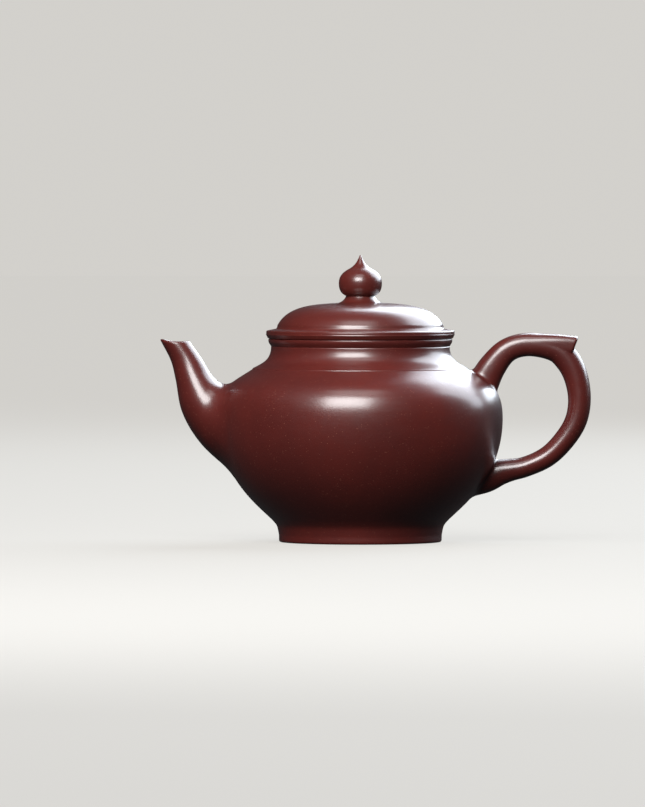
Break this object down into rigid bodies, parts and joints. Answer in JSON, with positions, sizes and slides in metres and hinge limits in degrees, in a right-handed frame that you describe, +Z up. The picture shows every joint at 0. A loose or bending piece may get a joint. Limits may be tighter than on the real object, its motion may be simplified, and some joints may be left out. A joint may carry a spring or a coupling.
{
  "type": "yixing clay teapot",
  "caption": "Round-bellied unglazed clay teapot with a short upright spout, a loop handle with a thumb rest and a domed lift-off lid with a pointed knob.",
  "frame": {"origin": "on the surface the pot stands on, under the middle of its overall length; the pot's own upright axis is 5.75 mm from it towards the spout, at x = -0.00575 m", "axes": "+X from the spout to the handle, +Z up, +Y away from a viewer who has the spout on the left"},
  "size_m": [0.1615, 0.1068, 0.1075],
  "materials": {
    "pot_clay": "unglazed red-brown stoneware, burnished to a soft gloss",
    "lid_clay": "unglazed red-brown stoneware, burnished to a soft gloss",
    "raw_clay": "unglazed red-brown stoneware, matt and unburnished"
  },
  "bodies": {
    "pot": {"foot_ring": "pot_clay", "base_disc": "raw_clay", "body_wall": "pot_clay", "shoulder_disc": "pot_clay", "neck_collar": "pot_clay", "mouth_ring": "pot_clay", "spout": "pot_clay", "strainer": "raw_clay", "handle_arm": "pot_clay", "handle_loop": "pot_clay", "handle_tail": "pot_clay"},
    "lid_seat": {"lid_flange": "raw_clay"},
    "lid": {"lid_plate": "lid_clay", "lid_dome": "lid_clay", "knob_stem": "lid_clay", "knob": "lid_clay"}
  },
  "joints": [
    {"name": "lid_lift", "type": "slide", "parent": "pot", "child": "lid_seat", "axis": [0, 0, 1], "range_m": [0, 0.06]},
    {"name": "lid_turn", "type": "hinge", "parent": "lid_seat", "child": "lid", "pos_m": [-0.00575, 0, 0.0763], "axis": [0, 0, 1], "continuous": true}
  ]
}
